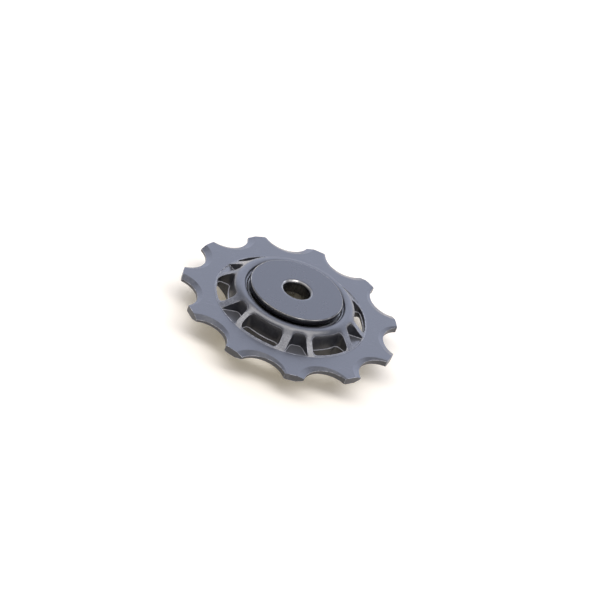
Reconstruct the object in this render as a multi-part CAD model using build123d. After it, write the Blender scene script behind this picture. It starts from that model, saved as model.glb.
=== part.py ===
# Derailleur jockey wheel: moulded toothed wheel on a sealed ball bearing with two dust caps.
# Millimetres, +Z is the wheel's axis, origin at the centre of the wheel.
import os
from math import cos, radians, sin, tan

from build123d import *

# Chain and teeth
tooth_count = 11
chain_pitch = 12.7
roller_radius = 3.875
tooth_height = 2.84
tip_half_angle = 5.1
front_angle = -90.0

# Toothed plate
plate_thickness = 1.35

# Bevels of the tooth gaps: a shallow cone whose axis is off the gap's own axis
bevel_width = 0.75
bevel_shift_round = 0.55
bevel_shift_in = 0.25
bevel_angle = 18.0

# Ball bearing: walls are shares of the section from bore to rim, balls a share of the width
bearing_bore = 7.0
bearing_diameter = 19.0
bearing_width = 6.0
inner_wall_share = 0.25
outer_wall_share = 0.267
seal_wall_share = 0.19
ball_share = 0.6615
ball_count = 7
groove_clearance = 0.04
ring_edge = 0.3

# Seals
seal_thickness = 0.4
seal_inset = 0.15
seal_lip_clearance = 0.08
seal_lip_edge = 0.2

# Ball cage
cage_wall = 1.4
cage_floor = 0.2
cage_reach = 0.95
cage_pocket_clearance = 0.06

# Hub
hub_wall = 1.7
hub_rise = 0.78
hub_edge = 0.2
mouth_step = 0.3
mouth_edge = 0.4

# Spokes, with large windows and small blind pockets between them
arm_count = 6
arm_lead = 0.9
slope_share = 0.523
mould_draft = 4.0
window_hub_gap = 0.95
window_rim_gap = 0.35
window_half_angle_in = 16.3
window_half_angle_out = 16.0
window_corner_share = 0.31
pocket_hub_gap = 0.75
pocket_rim_gap = 0.1
pocket_angle_behind = 8.0
pocket_angle_ahead = 9.4
pocket_apex_half = 1.05
pocket_apex_lead = 0.35
pocket_corner = 0.9
pocket_floor_drop = 0.16

# Dust caps
cap_inset = 0.35
cap_thickness = 1.1
cap_boss_inset = 0.3
cap_boss_height = 0.62
cap_spigot_share = 0.3
cap_spigot_clearance = 0.02
cap_spigot_edge = 0.2
bolt_diameter = 5.0
bolt_clearance = 0.2
cap_edge = 0.25
cap_mouth = 0.45

# Length by which a cutter runs past the face that it cuts
past = 1.0

# Sizes that follow
tooth_step = 360.0 / tooth_count
arm_step = 360.0 / arm_count
root_radius = chain_pitch / (2 * sin(radians(tooth_step / 2))) - roller_radius
tip_radius = root_radius + tooth_height
plate_top = plate_thickness / 2
bore_radius = bearing_bore / 2
seat_radius = bearing_diameter / 2
bearing_top = bearing_width / 2
bearing_section = seat_radius - bore_radius
inner_shoulder = bore_radius + inner_wall_share * bearing_section
outer_shoulder = seat_radius - outer_wall_share * bearing_section
seal_seat = seat_radius - seal_wall_share * bearing_section
ball_radius = ball_share * bearing_width / 2
ball_circle = (bore_radius + seat_radius) / 2
hub_radius = seat_radius + hub_wall
hub_top = bearing_top + hub_rise
mouth_radius = seat_radius + mouth_step
slope_end = hub_radius + slope_share * (root_radius - hub_radius)
cap_face = bearing_top + cap_boss_height + cap_thickness

# Circle of a tooth gap, through the root and the corners of the two tips beside it
corner_angle = radians(tooth_step / 2 - tip_half_angle)
gap_rise = tip_radius * cos(corner_angle) - root_radius
gap_half = tip_radius * sin(corner_angle)
gap_radius = (gap_rise ** 2 + gap_half ** 2) / (2 * gap_rise)
gap_centre = root_radius + gap_radius

STANDING = (Align.CENTER, Align.CENTER, Align.MIN)


def polar(radius, angle):
    return Vector(radius * cos(radians(angle)), radius * sin(radians(angle)))


def section(profile):
    # Closed outline of (radius, height) points in the XZ plane.
    return make_face(Polyline(*[Vector(r, 0, z) for r, z in profile], close=True))


def ring_of(profile):
    return revolve(section(profile), Axis.Z, 360)


def around(shape, count, start):
    return [Rot(0, 0, start + i * 360.0 / count) * shape for i in range(count)]


def both_faces(shape):
    return shape + mirror(shape, Plane.XY)


def circles(solid, level):
    # Circular edges at one height, counted from the lowest, from the smallest outwards.
    return solid.edges().filter_by(GeomType.CIRCLE).group_by(Axis.Z)[level].sort_by(SortBy.RADIUS)


def tooth_gap():
    # Tooth gap on the +X axis with its bevels.
    gap = Pos(gap_centre, 0, 0) * Cylinder(gap_radius, plate_thickness + 2 * past)
    wide = gap_radius + bevel_width
    narrow = wide - plate_top / tan(radians(bevel_angle))
    bevel = Cone(narrow, wide, plate_top, align=STANDING)
    bevel += Pos(0, 0, plate_top) * Cylinder(wide, past, align=STANDING)
    bevel = Pos(gap_centre - bevel_shift_in, -bevel_shift_round, 0) * bevel
    return gap + both_faces(bevel)


def window():
    # Large window on the +X axis, narrowest at the mould's parting plane.
    inner = hub_radius + window_hub_gap
    outer = slope_end - window_rim_gap
    a = polar(inner, -window_half_angle_in)
    b = polar(outer, -window_half_angle_out)
    c = polar(outer, window_half_angle_out)
    d = polar(inner, window_half_angle_in)
    face = make_face([
        Line(a, b),
        ThreePointArc(b, polar(outer, 0), c),
        Line(c, d),
        ThreePointArc(d, polar(inner, 0), a),
    ])
    face = fillet(face.vertices(), window_corner_share * (outer - inner))
    return both_faces(extrude(face, hub_top + past, taper=-mould_draft))


def pocket():
    # Small blind pocket on the +X axis, down to a floor just below the plate's face.
    apex = hub_radius + pocket_hub_gap
    outer = slope_end - pocket_rim_gap
    a = Vector(apex, pocket_apex_lead - pocket_apex_half)
    b = polar(outer, -pocket_angle_behind)
    c = polar(outer, pocket_angle_ahead)
    d = Vector(apex, pocket_apex_lead + pocket_apex_half)
    face = make_face([Line(a, b), ThreePointArc(b, polar(outer, 0), c), Line(c, d), Line(d, a)])
    face = fillet(face.vertices().sort_by(Axis.X)[:2], pocket_corner)
    floor = plate_top - pocket_floor_drop
    return both_faces(Pos(0, 0, floor) * extrude(face, hub_top + past - floor, taper=-mould_draft))


def wheel_blank():
    half = ring_of([
        (seat_radius, 0),
        (tip_radius, 0),
        (tip_radius, plate_top),
        (slope_end, plate_top),
        (hub_radius, hub_top),
        (mouth_radius, hub_top),
        (mouth_radius, bearing_top),
        (seat_radius, bearing_top),
    ])
    half = fillet(circles(half, -1)[0], mouth_edge)
    half = fillet(circles(half, -1)[-1], hub_edge)
    return both_faces(half)


def pulley_wheel():
    cuts = around(tooth_gap(), tooth_count, front_angle + tooth_step / 2)
    cuts += around(pocket(), arm_count, front_angle + arm_lead)
    cuts += around(window(), arm_count, front_angle + arm_lead + arm_step / 2)
    return wheel_blank() - cuts


def ball_groove():
    return Torus(ball_circle, ball_radius + groove_clearance)


def bearing_outer_ring():
    seat = bearing_top - seal_inset - seal_thickness
    half = ring_of([
        (outer_shoulder, 0),
        (outer_shoulder, seat),
        (seal_seat, seat),
        (seal_seat, bearing_top),
        (seat_radius - ring_edge, bearing_top),
        (seat_radius, bearing_top - ring_edge),
        (seat_radius, 0),
    ])
    return both_faces(half) - ball_groove()


def bearing_inner_ring():
    half = ring_of([
        (bore_radius, 0),
        (bore_radius, bearing_top - ring_edge),
        (bore_radius + ring_edge, bearing_top),
        (inner_shoulder, bearing_top),
        (inner_shoulder, 0),
    ])
    return both_faces(half) - ball_groove()


def on_ball_circle(shape):
    return around(Pos(ball_circle, 0, 0) * shape, ball_count, front_angle)


def ball_cage():
    # Crown cage: a ring below the balls with pockets that open upwards.
    inner = ball_circle - cage_wall / 2
    outer = ball_circle + cage_wall / 2
    pocket_radius = ball_radius + cage_pocket_clearance
    low = -pocket_radius - cage_floor
    ring = ring_of([(inner, low), (outer, low), (outer, cage_reach), (inner, cage_reach)])
    return ring - on_ball_circle(Sphere(pocket_radius))


def seal():
    high = bearing_top - seal_inset
    low = high - seal_thickness
    lip = inner_shoulder + seal_lip_clearance
    return ring_of([
        (lip, low),
        (seal_seat, low),
        (seal_seat, high),
        (lip + seal_lip_edge, high),
        (lip, high - seal_lip_edge),
    ])


def cap():
    # Disc with a boss that meets the inner ring and a spigot in the ring's bore.
    under = cap_face - cap_thickness
    spigot = bore_radius - cap_spigot_clearance
    tip = bearing_top - cap_spigot_share * bearing_top
    bore = bolt_diameter / 2 + bolt_clearance
    boss = inner_shoulder - cap_boss_inset
    rim = seat_radius - cap_inset
    body = ring_of([
        (bore, tip),
        (spigot - cap_spigot_edge, tip),
        (spigot, tip + cap_spigot_edge),
        (spigot, bearing_top),
        (boss, bearing_top),
        (boss, under),
        (rim, under),
        (rim, cap_face),
        (bore, cap_face),
    ])
    body = fillet(circles(body, -1)[0], cap_mouth)
    return fillet(circles(body, -1)[-1], cap_edge)


def turned_over(shape):
    return Rot(180, 0, 0) * shape


nodes = {
    "pulley_wheel": pulley_wheel(),
    "bearing_outer_ring": bearing_outer_ring(),
    "bearing_inner_ring": bearing_inner_ring(),
    "ball_cage": ball_cage(),
    "upper_seal": seal(),
    "lower_seal": turned_over(seal()),
    "upper_cap": cap(),
    "lower_cap": turned_over(cap()),
}
for number, ball in enumerate(on_ball_circle(Sphere(ball_radius)), 1):
    nodes[f"ball_{number}"] = ball

os.makedirs("parts", exist_ok=True)
for name, shape in nodes.items():
    export_step(shape, f"parts/{name}.step")
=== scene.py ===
"""Looks of a derailleur jockey wheel: camera, studio, materials and the moulding's flash lines."""

from math import cos, pi, radians, sin

import bmesh
import bpy
from mathutils import Matrix, Vector, noise


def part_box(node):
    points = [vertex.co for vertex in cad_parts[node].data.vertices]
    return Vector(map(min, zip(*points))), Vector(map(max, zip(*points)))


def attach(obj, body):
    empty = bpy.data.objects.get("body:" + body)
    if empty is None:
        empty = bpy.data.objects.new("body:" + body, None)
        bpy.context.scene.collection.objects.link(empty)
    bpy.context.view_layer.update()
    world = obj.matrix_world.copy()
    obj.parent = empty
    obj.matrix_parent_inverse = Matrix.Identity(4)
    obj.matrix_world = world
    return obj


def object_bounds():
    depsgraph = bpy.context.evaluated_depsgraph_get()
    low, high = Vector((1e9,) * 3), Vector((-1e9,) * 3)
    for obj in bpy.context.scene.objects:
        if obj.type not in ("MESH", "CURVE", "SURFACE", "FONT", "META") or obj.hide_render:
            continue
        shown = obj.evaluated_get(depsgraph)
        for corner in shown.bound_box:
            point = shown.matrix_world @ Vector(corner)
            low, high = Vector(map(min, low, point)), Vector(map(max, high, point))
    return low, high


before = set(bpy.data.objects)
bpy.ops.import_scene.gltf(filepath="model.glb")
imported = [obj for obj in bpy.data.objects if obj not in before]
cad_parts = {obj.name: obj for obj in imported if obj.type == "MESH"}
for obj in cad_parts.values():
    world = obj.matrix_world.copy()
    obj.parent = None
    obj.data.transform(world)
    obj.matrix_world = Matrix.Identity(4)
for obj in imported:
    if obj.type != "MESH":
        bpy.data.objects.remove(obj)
cad_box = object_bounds()

MM = 0.001

# View of the photograph: angles in degrees, the wheel's centre in pixels of the square frame
VIEW_AZIMUTH = -104.6
VIEW_ELEVATION = 33.76
VIEW_ROLL = 21.38
VIEW_DISTANCE = 570.3 * MM
VIEW_TARGET = Vector((0, 0, 0.48 * MM))
VIEW_CENTRE = (290.54, 306.94)
NEAR_CLIP = VIEW_DISTANCE / 10
FRAME_PIXELS = 600
LENS = 180
SENSOR = 36

# Studio: a pale tent with a dark opening at the front, two softboxes and a pale floor
FLOOR_SIZE = 4.0
FLOOR_MOTTLE = 4.0 * MM
FLOOR_COLOURS = (0.92, 0.88, 0.81, 1), (0.94, 0.90, 0.83, 1)
FLOOR_GLOW_COLOUR = (1.0, 0.86, 0.58, 1)
FLOOR_GLOW = 0.22
TENT_COLOUR = (0.45, 0.48, 0.595, 1)
DARK_COLOUR = (0.08, 0.063, 0.04, 1)
DARK_EDGE = 0.45, 0.90
DARK_TURN = -28
BACK_LIGHT = {
    "colour": (0.70, 0.77, 1.0),
    "radiance": 0.88,
    "size": (2.4, 0.8),
    "distance": 1.0,
    "tilt": 30,
}
TOP_LIGHT = {
    "colour": (1.0, 0.97, 0.95),
    "radiance": 2.6,
    "size": (1.55, 0.47),
    "distance": 0.8,
    "tilt": 94.5,
}

# Ranges of the bulk of a noise, of two noises added, and of a whole share
NOISE_BULK = 0.3, 0.7
TWO_NOISES_BULK = 0.6, 1.4
WHOLE = 0.0, 1.0

# Part of the width round a level, within which a share stays at 1
LEVEL_CORE = 0.4

# Plastic of the wheel, with the coat weaker on upright walls than on level faces
PLASTIC = {
    "colours": ((0.016, 0.016, 0.020, 1), (0.026, 0.027, 0.032, 1)),
    "mottle": 2.2 * MM,
    "grain": 0.28 * MM,
    "depth": 0.036 * MM,
    "strength": (0.45, 1.0),
    "wear": (0.3, 1.4),
    "roughness": (0.28, 0.48),
    "specular": 0.72,
    "coat_facing": (0.15, 0.5),
    "coat_weight": (0.1, 1.0),
    "coat_ior": 1.82,
    "coat_roughness": 0.22,
}

# Wear and painted highlights on the plastic: fine pale frost, scuffs in patches, and pale edges in
# places that are partly rubbed wear and partly a painted highlight
FROST = {"size": 0.35 * MM, "range": (0.42, 0.70), "share": 0.12, "colour": (0.16, 0.16, 0.17, 1)}
SCUFFS = {
    "long": {"length": 2.5 * MM, "width": 0.12 * MM, "angle": 24},
    "short": {"length": 1.8 * MM, "width": 0.10 * MM, "angle": -52},
    "range": (0.60, 0.74),
    "patch": 4.0 * MM,
    "patch_range": (0.48, 0.66),
    "depth": 0.6,
    "share": 0.45,
    "colour": (0.16, 0.16, 0.17, 1),
}
EDGE_WEAR_AND_HIGHLIGHT = {"width": 0.24 * MM, "share": 0.9, "colour": (0.55, 0.55, 0.58, 1)}
EDGE_WEAR_AND_HIGHLIGHT_PATCHES = {"size": 0.9 * MM, "detail": 4.0, "range": (0.42, 0.60), "left": (0.12, 1.0)}
EDGE_COSINES = 0.995, 0.86

# Sloping faces of the spokes: height of their unit normal, where they begin, and their own pale frost,
# which is partly a painted sheen on these faces
SPOKE_SLOPES_AND_SHEEN = {
    "facing": 0.783,
    "spread": 0.12,
    "start": (11.9 * MM, 12.9 * MM),
    "frost": (0.3, 0.8),
    "colour": (0.19, 0.19, 0.195, 1),
}

# Dust on the floors of the pockets
POCKET_FLOOR = 0.515 * MM
POCKET_END = 15.2 * MM
DUST = {"depth": 0.08 * MM, "facing": (0.7, 0.9), "share": 0.5, "colour": (0.12, 0.12, 0.125, 1)}

# Rounding of the wheel's edges, with softer blends at the top of the hub and at the foot of its slope
EDGE_ROUND = 0.08 * MM
HUB_TOP = {"radius": 11.2 * MM, "height": 3.4 * MM, "reach": 1.7 * MM, "round": 1.2 * MM}
SLOPE_FOOT = {"radius": 15.0 * MM, "height": 0.8 * MM, "reach": 0.7 * MM, "round": 0.55 * MM}

# Coating of the caps and its worn places, which are partly bare metal and partly a painted highlight
# along the rim and the mouth of the bore
COATING = {
    "colours": ((0.009, 0.009, 0.011, 1), (0.014, 0.014, 0.017, 1)),
    "bare_metal_and_highlight": (0.80, 0.77, 0.70, 1),
    "haze": 3.0 * MM,
    "turning": 0.11 * MM,
    "turning_share": 0.5,
    "grain": 0.12 * MM,
    "depth": 0.0025 * MM,
    "wear": (0.3, 1.0),
    "roughness": (0.22, 0.34),
    "ior": 1.52,
    "specular": 0.82,
    "coat_roughness": 0.08,
}
SPECKS = {"size": 0.22 * MM, "range": (0.78, 0.84), "share": 0.25, "colour": (0.22, 0.22, 0.23, 1)}
CAP_WEAR_AND_HIGHLIGHT_PATCHES = {"size": 1.6 * MM, "detail": 3.0, "range": (0.48, 0.64), "left": (0.25, 1.0)}
CAP_EDGE_WEAR_AND_HIGHLIGHT = 0.17 * MM
CAP_MOUTH_RADIUS = 2.89 * MM
CAP_MOUTH_WEAR_AND_HIGHLIGHT = 0.26 * MM
CAP_MOUTH_ROUND = 0.8 * MM

# Other materials: colours, sizes of their marks, roughness and depth of the bump
# Pale plastic of the flash and the beads: partly bleached, partly a painted highlight on the thin
# ridges.
FLASH_BLEACH_AND_HIGHLIGHT = {
    "colours": ((0.16, 0.16, 0.175, 1), (0.58, 0.58, 0.60, 1)),
    "mottle": 0.7 * MM,
    "grain": 0.08 * MM,
    "roughness": (0.35, 0.55),
    "depth": 0.008 * MM,
}
STEEL = {
    "colours": ((0.50, 0.49, 0.46, 1), (0.66, 0.65, 0.63, 1)),
    "stain": 1.6 * MM,
    "turning": 0.06 * MM,
    "roughness": (0.20, 0.38),
    "depth": 0.003 * MM,
    "round": 0.05 * MM,
}
CHROME = {
    "colours": ((0.68, 0.68, 0.67, 1), (0.78, 0.78, 0.78, 1)),
    "film": 1.2 * MM,
    "grain": 0.3 * MM,
    "roughness": (0.05, 0.14),
    "depth": 0.0006 * MM,
}
NYLON = {
    "colours": ((0.42, 0.34, 0.19, 1), (0.52, 0.44, 0.27, 1)),
    "tone": 1.4 * MM,
    "grain": 0.1 * MM,
    "roughness": (0.42, 0.56),
    "depth": 0.005 * MM,
    "round": 0.08 * MM,
}
RUBBER = {
    "colours": ((0.016, 0.016, 0.017, 1), (0.034, 0.033, 0.032, 1)),
    "bloom": 1.1 * MM,
    "ridges": 0.35 * MM,
    "grain": 0.07 * MM,
    "grain_share": 0.3,
    "roughness": (0.55, 0.75),
    "depth": 0.03 * MM,
    "round": 0.05 * MM,
}

# Flash on the moulding's parting plane and beads along the foot of the pockets' walls, both in a pale
# plastic that is partly bleached flash and partly a painted highlight
FLASH = {"reach": 0.22 * MM, "rise": 0.07 * MM}
BEAD = {"reach": 0.12 * MM, "rise": 0.07 * MM}
BEAD_LIFT = 0.02 * MM
POCKET_COUNT = 6
RIDGE_ROOT = 0.02 * MM
RIDGE_WAVE = 0.8 * MM
RIDGE_MEAN = 0.75
RIDGE_SWING = 0.6
PLANE_TOLERANCE = 1e-7

# Zone of the windows and pockets, as shares of the bearing's and the wheel's radius
HOLE_ZONE = 1.05, 0.8


def add_node(tree, kind, inputs=None, **settings):
    node = tree.nodes.new("ShaderNode" + kind)
    for name, value in settings.items():
        setattr(node, name, value)
    for name, value in (inputs or {}).items():
        if isinstance(value, bpy.types.NodeSocket):
            tree.links.new(value, node.inputs[name])
        else:
            node.inputs[name].default_value = value
    return node


def new_material(name):
    # An empty material, its node tree and the point on the object that is shaded.
    material = bpy.data.materials.new(name)
    material.use_nodes = True
    tree = material.node_tree
    tree.nodes.clear()
    point = add_node(tree, "TexCoord").outputs["Object"]
    return material, tree, point


def finish_surface(material, inputs):
    tree = material.node_tree
    shader = add_node(tree, "BsdfPrincipled", inputs)
    add_node(tree, "OutputMaterial", {"Surface": shader.outputs[0]})
    return material


def cloud(tree, point, size, detail=2.0):
    # Noise from 0 to 1 whose features are about size metres wide.
    node = add_node(tree, "TexNoise", {"Vector": point, "Scale": 1 / size, "Detail": detail})
    return node.outputs["Fac"]


def remap(tree, value, source, target=WHOLE):
    # Carries a value from one range over to another and holds it at the ends.
    node = add_node(tree, "MapRange", {
        "Value": value,
        "From Min": source[0],
        "From Max": source[1],
        "To Min": target[0],
        "To Max": target[1],
    })
    return node.outputs["Result"]


def combine(tree, operation, first, second):
    return add_node(tree, "Math", {0: first, 1: second}, operation=operation).outputs[0]


def multiply(tree, first, second):
    return combine(tree, "MULTIPLY", first, second)


def absolute(tree, value):
    return add_node(tree, "Math", {0: value}, operation="ABSOLUTE").outputs[0]


def mix_colours(tree, share, first, second):
    node = add_node(tree, "Mix", {0: share, 6: first, 7: second}, data_type="RGBA")
    return node.outputs[2]


def cover(tree, colour, place, mark):
    # Lays the colour of a mark over another colour where its place is.
    return mix_colours(tree, multiply(tree, place, mark["share"]), colour, mark["colour"])


def near_level(tree, value, level, width):
    # 1 where a value is at a level, falling to 0 at width on either side.
    off = absolute(tree, combine(tree, "SUBTRACT", value, level))
    return remap(tree, off, (width, width * LEVEL_CORE))


def axis_distance(tree, point):
    flat = add_node(tree, "VectorMath", {0: point, 1: (1, 1, 0)}, operation="MULTIPLY")
    return add_node(tree, "VectorMath", {0: flat.outputs[0]}, operation="LENGTH").outputs["Value"]


def size_along_z(tree, vector):
    return absolute(tree, add_node(tree, "SeparateXYZ", {"Vector": vector}).outputs["Z"])


def facing_up(tree):
    # 1 on level faces and 0 on upright walls.
    return size_along_z(tree, add_node(tree, "NewGeometry").outputs["Normal"])


def turning_marks(tree, point, pitch):
    # Rings left by a lathe, as noise along the radius.
    steps = combine(tree, "DIVIDE", axis_distance(tree, point), pitch)
    node = add_node(tree, "TexNoise", {"W": steps, "Scale": 1.0, "Detail": 2.0}, noise_dimensions="1D")
    return node.outputs["Fac"]


def patchy_wear_and_highlight(tree, point, patch_setting):
    # Uneven patches in which a mark of wear and painted highlight is left.
    return remap(tree, cloud(tree, point, patch_setting["size"], patch_setting["detail"]), patch_setting["range"], patch_setting["left"])


def rounded_normal(tree, radius):
    return add_node(tree, "Bevel", {"Radius": radius}, samples=8).outputs["Normal"]


def bump(tree, height, depth, normal=None, strength=1.0):
    inputs = {"Height": height, "Distance": depth, "Strength": strength}
    if normal is not None:
        inputs["Normal"] = normal
    return add_node(tree, "Bump", inputs).outputs["Normal"]


def ring_share(tree, point, radius, height, reach, depth):
    # 1 at a circle on each face, falling to 0 at reach across the circle and at depth along the axis.
    across = near_level(tree, axis_distance(tree, point), radius, reach)
    return multiply(tree, across, near_level(tree, size_along_z(tree, point), height, depth))


def round_at(tree, point, place):
    # Radius of the rounding at one circular edge, 0 away from it.
    reach = place["reach"]
    share = ring_share(tree, point, place["radius"], place["height"], reach, reach)
    return multiply(tree, share, place["round"])


def wheel_normal(tree, point):
    blends = combine(tree, "MAXIMUM", round_at(tree, point, HUB_TOP), round_at(tree, point, SLOPE_FOOT))
    return rounded_normal(tree, combine(tree, "MAXIMUM", blends, EDGE_ROUND))


def streaks(tree, point, stroke):
    # Fine parallel scratches along one direction of the wheel's plane.
    squeeze = stroke["width"] / stroke["length"]
    turned = add_node(tree, "Mapping", {
        "Vector": point,
        "Rotation": (0, 0, radians(stroke["angle"])),
        "Scale": (squeeze, 1, squeeze),
    })
    scratches = cloud(tree, turned.outputs["Vector"], stroke["width"], detail=3.0)
    return remap(tree, scratches, SCUFFS["range"])


def scuff_share(tree, point):
    # Scratches in two directions, only within patches.
    long = streaks(tree, point, SCUFFS["long"])
    short = streaks(tree, point, SCUFFS["short"])
    patches = remap(tree, cloud(tree, point, SCUFFS["patch"]), SCUFFS["patch_range"])
    return multiply(tree, combine(tree, "MAXIMUM", long, short), patches)


def dust_share(tree, point):
    # 1 on the floors of the pockets, on both faces.
    at_floor = near_level(tree, size_along_z(tree, point), POCKET_FLOOR, DUST["depth"])
    level = remap(tree, facing_up(tree), DUST["facing"])
    inside = combine(tree, "LESS_THAN", axis_distance(tree, point), POCKET_END)
    return multiply(tree, multiply(tree, at_floor, level), inside)


def spoke_share(tree, point):
    # 1 on the sloping faces of the spokes and 0 elsewhere.
    slope = near_level(tree, facing_up(tree), SPOKE_SLOPES_AND_SHEEN["facing"], SPOKE_SLOPES_AND_SHEEN["spread"])
    return multiply(tree, slope, remap(tree, axis_distance(tree, point), SPOKE_SLOPES_AND_SHEEN["start"]))


def edge_share(tree, width):
    # 0 on flat faces and up to 1 along sharp edges.
    facing = add_node(tree, "VectorMath", {
        0: rounded_normal(tree, width),
        1: add_node(tree, "NewGeometry").outputs["Normal"],
    }, operation="DOT_PRODUCT")
    return remap(tree, facing.outputs["Value"], EDGE_COSINES)


def wheel_plastic():
    material, tree, point = new_material("wheel_plastic")
    mottling = cloud(tree, point, PLASTIC["mottle"], detail=4.0)
    grain = cloud(tree, point, PLASTIC["grain"], detail=3.0)
    frost = remap(tree, cloud(tree, point, FROST["size"], detail=3.0), FROST["range"])
    scuffs = scuff_share(tree, point)
    spokes = spoke_share(tree, point)
    # Pale frost on the sloping spoke faces, partly a painted sheen where these faces catch the top
    # light.
    spoke_frost_and_sheen = multiply(tree, spokes, remap(tree, frost, WHOLE, SPOKE_SLOPES_AND_SHEEN["frost"]))
    # Pale edges: partly rubbed wear, partly a painted highlight where the edges catch the light.
    edges = multiply(tree, edge_share(tree, EDGE_WEAR_AND_HIGHLIGHT["width"]), patchy_wear_and_highlight(tree, point, EDGE_WEAR_AND_HIGHLIGHT_PATCHES))
    colour = mix_colours(tree, mottling, *PLASTIC["colours"])
    colour = cover(tree, colour, frost, FROST)
    colour = mix_colours(tree, spoke_frost_and_sheen, colour, SPOKE_SLOPES_AND_SHEEN["colour"])
    colour = cover(tree, colour, scuffs, SCUFFS)
    colour = cover(tree, colour, dust_share(tree, point), DUST)
    colour = cover(tree, colour, edges, EDGE_WEAR_AND_HIGHLIGHT)
    worn = combine(tree, "ADD", mottling, combine(tree, "MAXIMUM", scuffs, frost))
    height = combine(tree, "ADD", grain, multiply(tree, scuffs, SCUFFS["depth"]))
    strength = remap(tree, spokes, WHOLE, PLASTIC["strength"])
    normal = bump(tree, height, PLASTIC["depth"], wheel_normal(tree, point), strength)
    return finish_surface(material, {
        "Base Color": colour,
        "Roughness": remap(tree, worn, PLASTIC["wear"], PLASTIC["roughness"]),
        "Specular IOR Level": PLASTIC["specular"],
        "Coat Weight": remap(tree, facing_up(tree), PLASTIC["coat_facing"], PLASTIC["coat_weight"]),
        "Coat IOR": PLASTIC["coat_ior"],
        "Coat Roughness": PLASTIC["coat_roughness"],
        "Normal": normal,
        "Coat Normal": normal,
    })


def flash_and_highlight_plastic():
    material, tree, point = new_material("flash_and_highlight_plastic")
    # Pale colour: partly bleached flash, partly a painted highlight on the ridges.
    bleach_and_highlight = cloud(tree, point, FLASH_BLEACH_AND_HIGHLIGHT["mottle"], detail=3.0)
    return finish_surface(material, {
        "Base Color": mix_colours(tree, bleach_and_highlight, *FLASH_BLEACH_AND_HIGHLIGHT["colours"]),
        "Roughness": remap(tree, bleach_and_highlight, NOISE_BULK, FLASH_BLEACH_AND_HIGHLIGHT["roughness"]),
        "Normal": bump(tree, cloud(tree, point, FLASH_BLEACH_AND_HIGHLIGHT["grain"]), FLASH_BLEACH_AND_HIGHLIGHT["depth"]),
    })


def cap_coating():
    # Black coating with bare metal along the outer edge and the mouth of the bore, partly worn and
    # partly a painted highlight ring.
    material, tree, point = new_material("cap_coating")
    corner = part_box("upper_cap")[1]
    on_rim = ring_share(tree, point, corner.x, corner.z, CAP_EDGE_WEAR_AND_HIGHLIGHT, CAP_EDGE_WEAR_AND_HIGHLIGHT)
    on_mouth = ring_share(tree, point, CAP_MOUTH_RADIUS, corner.z, CAP_MOUTH_WEAR_AND_HIGHLIGHT, 2 * CAP_MOUTH_WEAR_AND_HIGHLIGHT)
    # Bare metal rings at the rim and the mouth: partly wear, partly a painted highlight.
    bare_metal_and_highlight = multiply(tree, patchy_wear_and_highlight(tree, point, CAP_WEAR_AND_HIGHLIGHT_PATCHES), combine(tree, "MAXIMUM", on_rim, on_mouth))
    haze = cloud(tree, point, COATING["haze"], detail=3.0)
    specks = remap(tree, cloud(tree, point, SPECKS["size"], detail=1.0), SPECKS["range"])
    colour = mix_colours(tree, haze, *COATING["colours"])
    colour = cover(tree, colour, specks, SPECKS)
    colour = mix_colours(tree, bare_metal_and_highlight, colour, COATING["bare_metal_and_highlight"])
    marks = multiply(tree, turning_marks(tree, point, COATING["turning"]), COATING["turning_share"])
    height = combine(tree, "ADD", marks, cloud(tree, point, COATING["grain"]))
    mouth = {
        "radius": CAP_MOUTH_RADIUS,
        "height": corner.z,
        "reach": CAP_MOUTH_ROUND * 2,
        "round": CAP_MOUTH_ROUND,
    }
    normal = bump(tree, height, COATING["depth"], rounded_normal(tree, round_at(tree, point, mouth)))
    worn = combine(tree, "ADD", haze, specks)
    return finish_surface(material, {
        "Base Color": colour,
        "Metallic": bare_metal_and_highlight,
        "IOR": COATING["ior"],
        "Specular IOR Level": COATING["specular"],
        "Roughness": remap(tree, worn, COATING["wear"], COATING["roughness"]),
        "Coat Weight": 1.0,
        "Coat Roughness": COATING["coat_roughness"],
        "Normal": normal,
        "Coat Normal": normal,
    })


def ring_steel():
    material, tree, point = new_material("ring_steel")
    marks = turning_marks(tree, point, STEEL["turning"])
    stain = cloud(tree, point, STEEL["stain"], detail=3.0)
    worn = combine(tree, "ADD", marks, stain)
    return finish_surface(material, {
        "Base Color": mix_colours(tree, stain, *STEEL["colours"]),
        "Metallic": 1.0,
        "Roughness": remap(tree, worn, TWO_NOISES_BULK, STEEL["roughness"]),
        "Normal": bump(tree, marks, STEEL["depth"], rounded_normal(tree, STEEL["round"])),
    })


def ball_chrome():
    material, tree, point = new_material("ball_chrome")
    film = cloud(tree, point, CHROME["film"], detail=3.0)
    return finish_surface(material, {
        "Base Color": mix_colours(tree, film, *CHROME["colours"]),
        "Metallic": 1.0,
        "Roughness": remap(tree, film, NOISE_BULK, CHROME["roughness"]),
        "Normal": bump(tree, cloud(tree, point, CHROME["grain"]), CHROME["depth"]),
    })


def cage_nylon():
    material, tree, point = new_material("cage_nylon")
    tone = cloud(tree, point, NYLON["tone"], detail=3.0)
    grain = cloud(tree, point, NYLON["grain"])
    return finish_surface(material, {
        "Base Color": mix_colours(tree, tone, *NYLON["colours"]),
        "Roughness": remap(tree, tone, NOISE_BULK, NYLON["roughness"]),
        "Normal": bump(tree, grain, NYLON["depth"], rounded_normal(tree, NYLON["round"])),
    })


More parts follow.
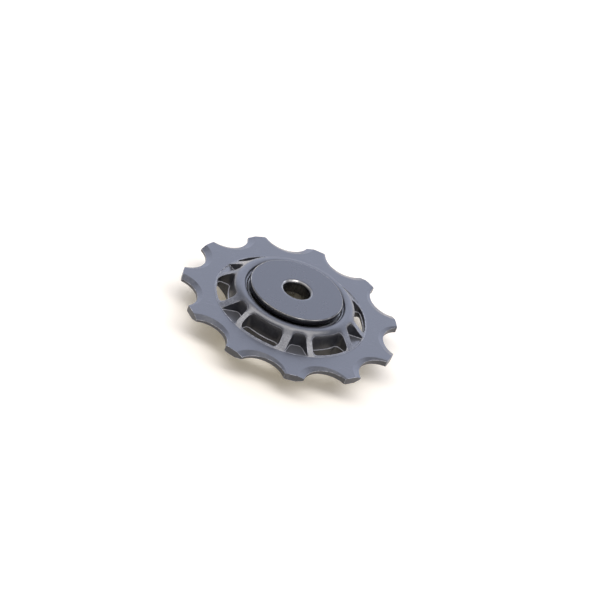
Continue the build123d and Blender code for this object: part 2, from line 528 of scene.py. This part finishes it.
def seal_rubber():
    material, tree, point = new_material("seal_rubber")
    bloom = cloud(tree, point, RUBBER["bloom"], detail=4.0)
    ridges = turning_marks(tree, point, RUBBER["ridges"])
    grain = multiply(tree, cloud(tree, point, RUBBER["grain"]), RUBBER["grain_share"])
    height = combine(tree, "ADD", ridges, grain)
    return finish_surface(material, {
        "Base Color": mix_colours(tree, bloom, *RUBBER["colours"]),
        "Roughness": remap(tree, bloom, NOISE_BULK, RUBBER["roughness"]),
        "Normal": bump(tree, height, RUBBER["depth"], rounded_normal(tree, RUBBER["round"])),
    })


def dress_nodes():
    plastic = wheel_plastic()
    coating = cap_coating()
    steel = ring_steel()
    rubber = seal_rubber()
    looks = {
        "pulley_wheel": plastic,
        "bearing_outer_ring": steel,
        "bearing_inner_ring": steel,
        "ball_cage": cage_nylon(),
        "upper_seal": rubber,
        "lower_seal": rubber,
        "upper_cap": coating,
        "lower_cap": coating,
    }
    chrome = ball_chrome()
    for name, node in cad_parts.items():
        node.data.materials.clear()
        node.data.materials.append(looks.get(name, chrome))


def section_loops(node, height):
    # Closed outlines of a CAD node's section at a height.
    # The edges are kept in a dict, so that they come in the same order on each run.
    cut = bmesh.new()
    cut.from_mesh(node.data)
    bmesh.ops.remove_doubles(cut, verts=cut.verts, dist=PLANE_TOLERANCE)
    geometry = cut.verts[:] + cut.edges[:] + cut.faces[:]
    level = Vector((0, 0, height))
    bmesh.ops.bisect_plane(cut, geom=geometry, dist=PLANE_TOLERANCE, plane_co=level, plane_no=(0, 0, 1))
    on_level = (e for e in cut.edges if all(abs(v.co.z - height) < PLANE_TOLERANCE for v in e.verts))
    edges = dict.fromkeys(on_level)
    loops = []
    while edges:
        edge = edges.popitem()[0]
        first, last = edge.verts
        points = [first.co.copy()]
        while last is not first:
            points.append(last.co.copy())
            edge = next(e for e in last.link_edges if e in edges)
            edges.pop(edge)
            last = edge.other_vert(last)
        loops.append(points)
    cut.free()
    return loops


def spoke_holes(height):
    # Outlines of the windows and pockets at a height, the shortest first.
    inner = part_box("bearing_outer_ring")[1].x * HOLE_ZONE[0]
    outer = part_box("pulley_wheel")[1].x * HOLE_ZONE[1]
    loops = section_loops(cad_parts["pulley_wheel"], height)
    holes = [loop for loop in loops if all(inner < p.xy.length < outer for p in loop)]
    return sorted(holes, key=lambda loop: sum((a - b).length for a, b in zip(loop, loop[1:])))


def add_ridge(mesh, points, size):
    # Low uneven ridge of three corners along a closed outline, standing into the hole.
    count = len(points)
    middle = sum(points, Vector()) / count
    rise = Vector((0, 0, size["rise"]))
    rings = []
    for i, point in enumerate(points):
        along = (points[(i + 1) % count] - points[i - 1]).normalized()
        side = along.cross(Vector((0, 0, 1)))
        if side.dot(middle - point) < 0:
            side.negate()
        reach = size["reach"] * (RIDGE_MEAN + RIDGE_SWING * noise.noise(point / RIDGE_WAVE))
        root = point - side * RIDGE_ROOT
        rings.append([mesh.verts.new(c) for c in (root + rise, point + side * reach, root - rise)])
    for ring, following in zip(rings, rings[1:] + rings[:1]):
        for k in range(3):
            mesh.faces.new((ring[k], ring[(k + 1) % 3], following[(k + 1) % 3], following[k]))


def add_piece(name, mesh, material, body):
    bmesh.ops.recalc_face_normals(mesh, faces=mesh.faces)
    data = bpy.data.meshes.new(name)
    mesh.to_mesh(data)
    mesh.free()
    data.materials.append(material)
    piece = bpy.data.objects.new(name, data)
    bpy.context.scene.collection.objects.link(piece)
    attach(piece, body)


def add_moulding_lines():
    material = flash_and_highlight_plastic()
    flash = bmesh.new()
    for points in spoke_holes(0):
        add_ridge(flash, points, FLASH)
    add_piece("parting_flash", flash, material, "wheel")
    # Beads where the pockets' walls meet their floors, in pale plastic as a painted highlight along
    # that foot.
    beads = bmesh.new()
    for face in (1, -1):
        for points in spoke_holes(face * (POCKET_FLOOR + BEAD_LIFT))[:POCKET_COUNT]:
            add_ridge(beads, points, BEAD)
    add_piece("pocket_highlight_beads", beads, material, "wheel")


def view_axes():
    # Directions to the right, up and back towards the camera.
    azimuth, elevation, roll = (radians(a) for a in (VIEW_AZIMUTH, VIEW_ELEVATION, VIEW_ROLL))
    back = Vector((cos(elevation) * cos(azimuth), cos(elevation) * sin(azimuth), sin(elevation)))
    level = Vector((-sin(azimuth), cos(azimuth), 0))
    rise = back.cross(level)
    right = cos(roll) * level + sin(roll) * rise
    up = cos(roll) * rise - sin(roll) * level
    return right, up, back


def add_camera():
    right, up, back = view_axes()
    pixel = SENSOR / LENS * VIEW_DISTANCE / FRAME_PIXELS
    across = (VIEW_CENTRE[0] - FRAME_PIXELS / 2) * pixel
    down = (VIEW_CENTRE[1] - FRAME_PIXELS / 2) * pixel
    data = bpy.data.cameras.new("camera")
    data.lens = LENS
    data.sensor_width = SENSOR
    data.clip_start = NEAR_CLIP
    camera = bpy.data.objects.new("camera", data)
    place = VIEW_TARGET + back * VIEW_DISTANCE - right * across + up * down
    camera.matrix_world = Matrix.Translation(place) @ Matrix((right, up, back)).transposed().to_4x4()
    bpy.context.scene.collection.objects.link(camera)
    bpy.context.scene.camera = camera


def add_world():
    world = bpy.data.worlds.new("studio")
    bpy.context.scene.world = world
    world.use_nodes = True
    tree = world.node_tree
    tree.nodes.clear()
    direction = add_node(tree, "TexCoord").outputs["Generated"]
    azimuth = radians(VIEW_AZIMUTH + DARK_TURN)
    dark_side = add_node(tree, "VectorMath", {
        0: direction,
        1: (cos(azimuth), sin(azimuth), 0),
    }, operation="DOT_PRODUCT")
    share = remap(tree, dark_side.outputs["Value"], DARK_EDGE)
    fill = add_node(tree, "Background", {"Color": mix_colours(tree, share, TENT_COLOUR, DARK_COLOUR)})
    add_node(tree, "OutputWorld", {"Surface": fill.outputs[0]})


def seen_directly(tree):
    # 1 for rays that show the floor as itself, in the view or in a reflection.
    path = add_node(tree, "LightPath").outputs
    share = combine(tree, "MAXIMUM", path["Is Camera Ray"], path["Is Glossy Ray"])
    return combine(tree, "MAXIMUM", share, path["Is Transmission Ray"])


def floor_material():
    material, tree, point = new_material("floor")
    tone = cloud(tree, point, FLOOR_MOTTLE)
    paper = add_node(tree, "BsdfDiffuse", {"Color": mix_colours(tree, tone, *FLOOR_COLOURS)})
    glow = multiply(tree, seen_directly(tree), FLOOR_GLOW)
    light = add_node(tree, "Emission", {"Color": FLOOR_GLOW_COLOUR, "Strength": glow})
    both = add_node(tree, "AddShader", {0: paper.outputs[0], 1: light.outputs[0]})
    add_node(tree, "OutputMaterial", {"Surface": both.outputs[0]})
    return material


def add_floor():
    mesh = bmesh.new()
    bmesh.ops.create_grid(mesh, x_segments=1, y_segments=1, size=FLOOR_SIZE / 2)
    data = bpy.data.meshes.new("floor")
    mesh.to_mesh(data)
    mesh.free()
    data.materials.append(floor_material())
    floor = bpy.data.objects.new("floor", data)
    floor.location.z = cad_box[0].z
    bpy.context.scene.collection.objects.link(floor)


def add_softbox(name, light):
    # Tilt counts up from the horizon behind the wheel, over the top and on towards the camera.
    away = -view_axes()[2]
    level = Vector((away.x, away.y, 0)).normalized()
    tilt = radians(light["tilt"])
    direction = level * cos(tilt) + Vector((0, 0, sin(tilt)))
    data = bpy.data.lights.new(name, "AREA")
    data.shape = "RECTANGLE"
    data.size, data.size_y = light["size"]
    data.energy = light["radiance"] * pi * data.size * data.size_y
    data.color = light["colour"]
    softbox = bpy.data.objects.new(name, data)
    softbox.location = direction * light["distance"]
    softbox.rotation_euler = direction.to_track_quat("Z", "Y").to_euler()
    bpy.context.scene.collection.objects.link(softbox)


dress_nodes()
add_moulding_lines()
add_camera()
add_world()
add_floor()
add_softbox("back_light", BACK_LIGHT)
add_softbox("top_light", TOP_LIGHT)
bpy.context.scene.view_settings.view_transform = "Standard"
